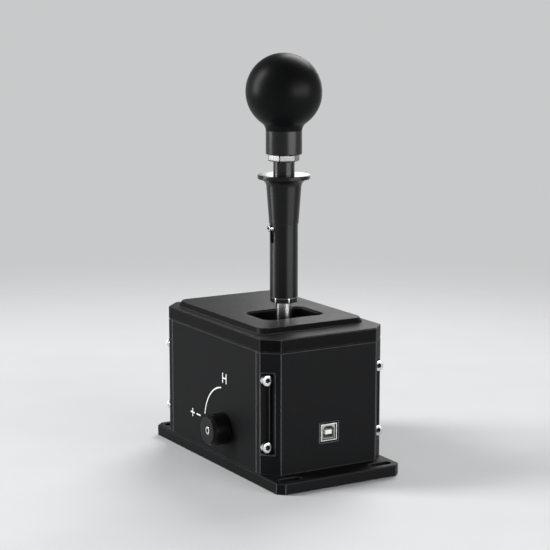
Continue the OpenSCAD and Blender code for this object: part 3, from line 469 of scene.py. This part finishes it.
def spring(node, wire, turns, body):
    """Coil that fills a CAD spring's box: the angle runs evenly, the height climbs one wire a turn over the
    first and last turn and evenly between them, and the wire thins to nothing at its two cut ends."""
    steps, around, round_section = 40, 12, 1.0
    low, high = (np.array(corner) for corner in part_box(node))
    x, y, _ = middle(node)
    radius = (high - low)[0] / 2 - wire / 2
    turn = np.linspace(0, turns, turns * steps + 1)
    foot, top = low[2] + wire / 2, high[2] - wire / 2
    height = np.interp(turn, [0, 1, turns - 1, turns], [foot, foot + wire, top - wire, top])
    angle = 2 * np.pi * turn
    path = np.stack([x + radius * np.cos(angle), y + radius * np.sin(angle), height], -1)
    outward = np.stack([np.cos(angle), np.sin(angle), 0 * angle], -1)
    thickness = np.full(len(path), wire / 2)
    thickness[[0, -1]] = 0
    coil = ribbon(path, outward, thickness, thickness, round_section, around)
    made = piece(node + "_coil", [coil], wire_steel, body)
    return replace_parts(made, node)


# The right one is pressed further, to stay clear of the sensor board that swings down over it. The shares
# listed here are not used: each coil fills its CAD spring's box.
for node, pressed in (("left_centring_spring", 0.86), ("right_centring_spring", 0.77)):
    coil = spring(node, wire=0.9 * MM, turns=9, body="housing")
    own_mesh(coil)


# Circuit board: glass-fibre board with green mask over copper tracks, on four hexagonal standoffs. The small
# sensor boards at the gimbal and the mode shaft are cut from the same sheet.

def board_mask(place):
    """Green solder mask: tracks show as paler lines where a brick pattern's joints run, with tinned pads."""
    tracks = place.node("TexBrick", {"offset": 0.37, "squash": 0.6}, {
        "Vector": place, "Scale": 1 / (3.2 * MM), "Mortar Size": 0.05, "Brick Width": 0.9, "Row Height": 0.35,
    }, "Fac")
    pads = cells(place, 2.6 * MM) < 0.16
    mask = tint(tracks, (0.010, 0.070, 0.032), (0.022, 0.130, 0.060))
    return {
        "Base Color": tint(pads, mask, (0.62, 0.60, 0.54)),
        "Roughness": 0.34 + 0.14 * tracks,
        "Metallic": pads,
        "Normal": relief(tracks + pads, 0.03 * MM),
    }


board_green = finish("board_green", board_mask)
dress(board_green, "circuit_board", "side_sensor_board", "fore_sensor_board", "mode_sensor_board")
dress(zinc, "board_screws", "board_standoffs")


def board_part_mix(place):
    """Moulded parts on the board, told apart by place: white headers at -X, a metal clock can towards the
    lever and a black chip in front of it."""
    can_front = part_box("board_parts")[1].y - 6 * MM
    x, y = coordinate(place, "X"), coordinate(place, "Y")
    header = x < 0.0
    can = (x > 0.0) * (y > can_front)
    grain = speckle(place, 0.2 * MM)
    moulded = tint(header, (0.018, 0.018, 0.020), (0.72, 0.71, 0.66))
    return {
        "Base Color": tint(can, moulded, (0.60, 0.60, 0.61)),
        "Roughness": 0.38 + 0.2 * grain - 0.15 * can,
        "Metallic": can,
        "Normal": relief(grain, 0.01 * MM),
    }


dress(finish("board_parts_mix", board_part_mix), "board_parts")


# Data socket: a square shell folded from tinned sheet steel round a white insulator, whose mouth has its
# upper corners cut off. The tongue in it reaches nearly to the mouth and carries four gilt contacts, two
# above and two below.

def tinned_sheet(place):
    """Tinned sheet steel: bright, with faint drawing lines along Y and a few dull patches."""
    lines = speckle(drawn_out(place, (1.0, 0.05, 1.0)), 0.2 * MM)
    patch = speckle(place, 2.5 * MM)
    return {
        "Base Color": tint(patch, (0.66, 0.67, 0.68), (0.82, 0.82, 0.82)),
        "Roughness": 0.16 + 0.16 * lines + 0.08 * patch,
        "Normal": relief(lines, 0.005 * MM),
    }


dress(finish("tinned_sheet", tinned_sheet, Metallic=1.0), "socket_shell")
tongue_z = middle("socket_shell")[2]


def white_moulding(place):
    """Moulded plastic with a fine spark-eroded grain: a white tongue in a body greyed as painted shade, whose
    joint with the shell is painted dark as a shadow. All three are told apart by place."""
    half_wide, half_high, shadow_band_wide = 2.9 * MM, 1.7 * MM, 0.7 * MM
    low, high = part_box("socket_tongue")
    x, z = coordinate(place, "X"), coordinate(place, "Z")
    tongue = (abs(x) < half_wide) * (abs(z - tongue_z) < half_high)
    # Painted shadow along the joint with the shell, and painted shade greying the body round the tongue.
    joint = (abs(x) > high.x - shadow_band_wide) + (z < low.z + shadow_band_wide)
    grain = speckle(place, 0.15 * MM)
    body = tint(joint, (0.30, 0.33, 0.31), (0.010, 0.011, 0.011))
    white = tint(speckle(place, 2 * MM), (0.60, 0.61, 0.59), (0.68, 0.69, 0.67))
    return {
        "Base Color": tint(tongue, body, white),
        "Roughness": 0.42 + 0.16 * grain,
        "Normal": relief(grain, 0.008 * MM),
    }


moulding = finish("white_moulding", white_moulding)
dress(moulding, "socket_tongue")

# The tongue's front: a block with rounded edges, whose half sizes grow to full over the first third.
tip_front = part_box("socket_shell")[0].y + 0.4 * MM
tip_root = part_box("socket_tongue")[0].y + 2.2 * MM
tip_wide, tip_high, tip_power, tip_around = 2.79 * MM, 1.58 * MM, 0.12, 48
tip_run = np.array([0.0, 0.02, 0.35, 0.99, 1.0])
tip_full = np.array([0.0, 0.85, 1.0, 1.0, 0.0])
tip_y = tip_front + tip_run * (tip_root - tip_front)
tip_path = np.stack([0 * tip_run, tip_y, tongue_z + 0 * tip_run], -1)
tip = ribbon(tip_path, (0, 0, 1), tip_wide * tip_full, tip_high * tip_full, tip_power, tip_around)
piece("socket_tongue_tip", [tip], moulding, "housing")


def gilt(place):
    """Thin gold plate over a rolled spring strip."""
    wear = speckle(place, 0.6 * MM)
    return {
        "Base Color": tint(wear, (0.72, 0.50, 0.20), (0.86, 0.66, 0.32)),
        "Roughness": 0.18 + 0.14 * wear,
    }


# Each contact is a flat strip whose front fifth dips into the tongue, by the square of what is left of it.
contact_front, contact_len = tip_front + 0.4 * MM, 6.2 * MM
contact_out, contact_rise, contact_dip, dip_share = 1.25 * MM, 1.6 * MM, 0.25 * MM, 0.2
contact_wide, contact_high, contact_power = 0.5 * MM, 0.12 * MM, 0.4
run = np.linspace(0, 1, 17)
rise = contact_rise - contact_dip * np.clip(1 - run / dip_share, 0, 1) ** 2
full = np.where((run == 0) | (run == 1), 0.0, 1.0)
contacts = []
for side in (-1, 1):
    for across in (-contact_out, contact_out):
        path = np.stack([across + 0 * run, contact_front + run * contact_len, tongue_z + side * rise], -1)
        contacts.append(ribbon(path, (0, 0, side), contact_wide * full, contact_high * full, contact_power))
piece("socket_contacts", contacts, finish("contact_gilt", gilt, Metallic=1.0), "housing")


# Yoke: a milled ring that swings from side to side on two polished axles. In it a pivot block swings fore and
# aft on a cross pin. A magnet in the end of the front axle and one in the end of the pin each turn in front
# of a sensor board.

dress(milled, "yoke_frame", "pivot_block")
dress(bush_bronze, "yoke_bushes")


def polished_steel(place):
    """Ground and polished steel: a faint haze of fine scratches over a bright surface."""
    scratch = speckle(drawn_out(place, (0.03, 0.03, 1.0)), 0.15 * MM)
    haze = speckle(place, 12 * MM)
    return {
        "Base Color": tint(haze, (0.70, 0.70, 0.71), (0.80, 0.80, 0.80)),
        "Roughness": 0.07 + 0.06 * scratch + 0.04 * haze,
        "Normal": relief(scratch, 0.0015 * MM),
    }


polished = finish("polished_steel", polished_steel, Metallic=1.0)
dress(polished, "yoke_axles", "cross_pin")


def nickel_plate(place):
    """Bright nickel plate with a slight yellow warmth and small rub marks."""
    rub = speckle(place, 1.6 * MM, 3.0)
    return {
        "Base Color": tint(rub, (0.34, 0.34, 0.335), (0.42, 0.42, 0.41)),
        "Roughness": 0.14 + 0.10 * rub,
        "Normal": relief(rub, 0.0015 * MM, eased(place, 0.25 * MM)),
    }


nickel = finish("nickel_plate", nickel_plate, Metallic=1.0)
dress(nickel, "side_magnet", "fore_magnet")


# Lever: a turned steel shaft screwed into the pivot block, polished where it passes the cover and blackened
# above. It carries a thin black nut and a cap screw that guides the tube. The sprung ball in its ground tail
# runs in the track.

def lever_steel(place):
    """Turned steel with fine rings: polished up to the guide screw's height, black oxide above it."""
    z = coordinate(place, "Z")
    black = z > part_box("guide_screw")[0].z
    rings = wave(z, 0.09 * MM)
    haze = speckle(place, 10 * MM)
    return {
        "Base Color": tint(black, (0.60, 0.60, 0.61), (0.006, 0.006, 0.0065)),
        "Metallic": 1.0 - black,
        "Roughness": 0.16 + 0.05 * haze + 0.12 * black,
        "Normal": relief(rings, 0.0010 * MM),
    }


dress(finish("lever_steel", lever_steel, Specular_IOR_Level=0.38, Anisotropic=0.7, Anisotropic_Rotation=0.25),
      "lever_shaft")
dress(ground, "lever_tail")
dress(polished, "detent_ball")
spring("detent_spring", wire=0.7 * MM, turns=5, body="lever")


def nut_steel(name, face, corner):
    """A plated nut: one colour on its faces, another painted along its corners, as a highlight where it is
    lighter and a shade line where darker, and small rub marks.
    """
    def recipe(place):
        rub = speckle(place, 1.6 * MM, 3.0)
        rounded = eased(place, 1.4 * MM)
        return {
            "Base Color": tint(8.0 * edges(rounded), face, corner),
            "Roughness": 0.25 + 0.08 * rub,
            "Normal": relief(rub, 0.001 * MM, rounded),
        }
    return finish(name, recipe, Metallic=1.0)


# The black nut's light corners are a painted highlight.
dress(nut_steel("black_nut", (0.030, 0.030, 0.032), (0.85, 0.85, 0.86)), "tube_stop_nut")

guide = dict(shank=1.25 * MM, head=2.1 * MM, height=4.9 * MM, key=2.0 * MM, length=4.5 * MM)
guide_spot = (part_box("guide_screw")[1].x - guide["length"], *middle("guide_screw")[1:])
guide_place = (guide_spot, (0, 0, 1), (-1, 0, 0))
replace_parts(cap_screws("guide_cap_screw", guide, [guide_place], "lever"), "guide_screw")


# Lift collar and tube: turned aluminium, anodised black. The tube slides on the shaft, guided by the small
# screw in its slot, and a spring between the collar and a ring on the shaft pushes both down.

def turned_black(name, axis, roughness, gloss, **fixed):
    """Black anodising over fine lathe rings, whose phase runs along the turning axis, X or Z. Faces that look
    straight up are smoother."""
    def recipe(place):
        rounded = eased(place, 0.5 * MM)
        rings = wave(coordinate(place, axis) + 0.05 * MM * speckle(place, 2 * MM), 0.14 * MM)
        cloud = speckle(place, 7 * MM)
        level = coordinate(flat_normal(place), "Z") > 0.98
        coat = tint(cloud, (0.0022, 0.0023, 0.0026), (0.0050, 0.0052, 0.0057))
        return {
            # Lighter edges: wear, and partly a painted rim highlight.
            "Base Color": tint(edges(rounded) * 0.3, coat, (0.16, 0.16, 0.165)),
            "Roughness": roughness - 0.04 + 0.05 * rings + 0.06 * cloud - (roughness - 0.12) * level,
            "Normal": relief(rings, 0.0015 * MM, rounded),
        }
    return finish(name, recipe, Specular_IOR_Level=gloss, **fixed)


collar_black = turned_black("collar_black", "Z", roughness=0.33, gloss=0.25,
                            Anisotropic=0.88, Anisotropic_Rotation=0.25)
dress(collar_black, "lift_collar", "lift_tube")
dress(wire_steel, "spring_stop_ring")

lift_coil = spring("lift_spring", wire=1.0 * MM, turns=7, body="lever")
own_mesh(lift_coil)


# Knob: a ball with a neck, turned from one piece, anodised black and lightly polished, screwed on the shaft's
# stud and held by a thin nickel-plated nut.

neck_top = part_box("shift_knob")[0].z + 15.5 * MM


def ball_black(place):
    """Fine black satin: a close grain, and a broad bloom where handling has made it smoother. The neck under
    the ball is polished."""
    grain = speckle(place, 0.18 * MM)
    rubbed_and_highlit = speckle(place, 22 * MM)
    neck = coordinate(place, "Z") < neck_top
    return {
        "Base Color": tint(rubbed_and_highlit, (0.0022, 0.0023, 0.0026), (0.0048, 0.0050, 0.0055)),
        "Roughness": 0.37 - 0.06 * rubbed_and_highlit + 0.05 * grain,
        "Coat Weight": 0.50 * neck,
        "Normal": relief(grain, 0.0015 * MM),
    }


dress(finish("ball_black", ball_black, Specular_IOR_Level=0.065, Coat_Roughness=0.28), "shift_knob")
# The bright nut's dark corners are a painted shade line between its facets.
dress(nut_steel("bright_nut", (0.22, 0.22, 0.217), (0.010, 0.010, 0.011)), "knob_lock_nut")


# Mode knob: turned like the collar and fixed on its polished shaft by a socket screw. The shaft turns in a
# bronze bush, and a sprung plunger under its cam holds it at either mode. Marks are printed in white on the
# side plate round it.

dress(turned_black("mode_knob_black", "X", roughness=0.32, gloss=0.12), "mode_knob")
dress(polished, "mode_shaft", "mode_plunger_ball")
dress(bush_bronze, "mode_bush")
dress(ground, "mode_cam")
dress(wire_steel, "mode_shaft_clip")
dress(zinc, "mode_plunger")
dress(nickel, "mode_magnet")

m3 = dict(shank=1.5 * MM, head=2.75 * MM, height=3.0 * MM, key=2.5 * MM, length=10.0 * MM)
mode_spot = (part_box("mode_knob_screw")[0].x + m3["height"], *middle("mode_knob_screw")[1:])
mode_place = (mode_spot, (0, 0, 1), (-1, 0, 0))
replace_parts(cap_screws("mode_cap_screw", m3, [mode_place], "mode_selector"), "mode_knob_screw")


def white_ink(place):
    """Screen-printed white ink: nearly matt, with the fine mottle that the screen's mesh leaves."""
    mesh_mark = speckle(place, 0.12 * MM)
    return {
        "Base Color": tint(mesh_mark, (0.66, 0.67, 0.68), (0.82, 0.83, 0.83)),
        "Roughness": 0.5 + 0.2 * mesh_mark,
    }


ink = finish("white_ink", white_ink)
ink_t = 0.05 * MM
plate_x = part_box("left_side_plate")[0].x
hub = next(joint for joint in frame["joints"] if joint["name"] == "mode_turn")["pos_m"]


def stroke(y, z, width):
    """One printed line through points on the side plate, measured from the knob's axis: a ribbon with round
    ends, where the half width follows a quarter circle over the last half width of the path."""
    thin_out, section_power = 0.25, 0.35
    path = np.stack([np.full(len(y), plate_x), hub[1] + np.array(y), hub[2] + np.array(z)], -1)
    half = width / 2
    turn = np.linspace(0, np.pi / 2, 8)
    start, end = path[0] - path[1], path[-1] - path[-2]
    start, end = start / np.linalg.norm(start), end / np.linalg.norm(end)
    head = path[0] + start * half * np.cos(turn[:-1, None])
    tail = path[-1] + end * half * np.sin(turn[1:, None])
    share = np.concatenate([np.sin(turn[:-1]), np.ones(len(path)), np.cos(turn[1:])])
    line = np.concatenate([head, path, tail])
    return ribbon(line, (-1, 0, 0), half * share, ink_t * share ** thin_out, section_power)


def straight(y0, z0, y1, z1, width):
    """A stroke from one point to another."""
    return stroke(np.linspace(y0, y1, 9), np.linspace(z0, z1, 9), width)


arc_r, arc_line = 26.7 * MM, 0.9 * MM
arc_turn = np.radians(np.linspace(9, 81, 60))
arc = stroke(arc_r * np.sin(arc_turn), arc_r * np.cos(arc_turn), arc_line)
piece("mode_arc", [arc], ink, "housing")

h_y, h_z = -0.7 * MM, 33.5 * MM
h_tall, h_wide, h_line = 6.0 * MM, 4.6 * MM, 1.0 * MM
h_strokes = [straight(y, h_z - h_tall / 2, y, h_z + h_tall / 2, h_line)
             for y in (h_y - h_wide / 2, h_y + h_wide / 2)]
h_strokes.append(straight(h_y - h_wide / 2, h_z, h_y + h_wide / 2, h_z, h_line))
piece("mode_mark_h", h_strokes, ink, "housing")

sign_z, sign_half, sign_line = 1.0 * MM, 2.4 * MM, 1.0 * MM
plus_y, minus_y = 44.0 * MM, 35.6 * MM
signs = [straight(plus_y - sign_half, sign_z, plus_y + sign_half, sign_z, sign_line),
         straight(plus_y, sign_z - sign_half, plus_y, sign_z + sign_half, sign_line),
         straight(minus_y - sign_half, sign_z, minus_y + sign_half, sign_z, sign_line)]
piece("mode_mark_signs", signs, ink, "housing")


# Studio: a pale floor that fades into the backdrop, a tall soft light at the left, a low one at the right, a
# hazy sun from high behind, and a card behind the object that shows only in its gloss. The sky meets the
# floor in nearly its own colour and is darker overhead.

def smooth(value, start, end):
    """Rises from 0 at start to 1 at end, level at both."""
    return value.node("MapRange", {"interpolation_type": "SMOOTHSTEP"},
                      {"Value": value, "From Min": start, "From Max": end}, "Result")


def pale_floor(place):
    """Pale matt floor with a very faint mottle, which fades into the backdrop some way from the object."""
    away = place.node("VectorMath", {"operation": "LENGTH"}, {0: place}, "Value")
    return {
        "Base Color": tint(speckle(place, 60 * MM), (0.51, 0.515, 0.52), (0.55, 0.555, 0.56)),
        "Roughness": 0.7 + 0.1 * speckle(place, 15 * MM),
        "Alpha": 1.0 - smooth(away, start=0.35, end=0.85),
    }


# The floor is a disc just under the base plate: rings of points at growing radii, and one face in the middle.
floor_z = cad_box[0].z - 0.2 * MM
floor_radii, floor_sides = (0.02, 0.5, 3.0, 30.0), 64
spoke = np.linspace(0, 2 * np.pi, floor_sides, endpoint=False)
rim = np.stack([np.cos(spoke), np.sin(spoke), 0 * spoke], -1)
floor_points = np.concatenate([rim * radius for radius in floor_radii]) + [0, 0, floor_z]
floor_quads = grid_faces(len(floor_radii), floor_sides)[:, ::-1]
floor_mesh = bpy.data.meshes.new("floor")
floor_mesh.from_pydata(floor_points, [], floor_quads.tolist() + [list(range(floor_sides))])
floor_mesh.materials.append(finish("pale_floor", pale_floor))
floor = bpy.data.objects.new("floor", floor_mesh)
bpy.context.scene.collection.objects.link(floor)


def aimed(name, data, place, direction):
    """A lamp or camera at a place, looking along a direction."""
    made = bpy.data.objects.new(name, data)
    made.location = place
    made.rotation_euler = Vector(direction).to_track_quat("-Z", "Y").to_euler()
    bpy.context.scene.collection.objects.link(made)
    return made


focus = Vector((2.44, 1.61, 122.28)) * MM


def soft_light(name, place, width, height, radiance):
    """An area light that faces the object and that the camera doesn't see; its power is radiance times pi
    times its area."""
    lamp = bpy.data.lights.new(name, "AREA")
    lamp.shape = "RECTANGLE"
    lamp.size, lamp.size_y = width, height
    lamp.energy = radiance * math.pi * width * height
    made = aimed(name, lamp, place, focus - Vector(place))
    made.visible_camera = False
    return made


soft_light("left_strip", (-1.50, 0.99, 0.95), width=0.56, height=1.90, radiance=18.0)
soft_light("right_low", (0.69, -1.74, 0.41), width=1.80, height=0.80, radiance=8.0)
back_card = soft_light("back_card", (0.52, 0.52, 0.30), width=0.40, height=0.30, radiance=2.2)
back_card.visible_diffuse = False

sun = bpy.data.lights.new("high_back", "SUN")
sun.energy = 2.0
sun.angle = math.radians(35)
aimed("high_back", sun, (0, 0, 0), (-0.61, -0.50, -0.62))

world = bpy.data.worlds.new("studio")
world.use_nodes = True
bpy.context.scene.world = world
backdrop = world.node_tree.nodes["Background"]
sky = Shade(world.node_tree).node("TexCoord", output="Generated")
overhead = smooth(coordinate(sky, "Z"), start=0.02, end=0.40)
sky_colour = tint(overhead, (0.58, 0.585, 0.59), (0.22, 0.222, 0.226))
world.node_tree.links.new(sky_colour.socket, backdrop.inputs["Color"])

# The camera's place, aim and lens were fitted to straight edges and known sizes in the photograph.
camera_place = Vector((-566.04, -963.38, 318.71)) * MM
camera_data = bpy.data.cameras.new("camera")
camera_data.sensor_width = 36.0
camera_data.lens = 111.36
camera_data.clip_end = 100.0
bpy.context.scene.camera = aimed("camera", camera_data, camera_place, focus - camera_place)
bpy.context.scene.view_settings.view_transform = "Standard"
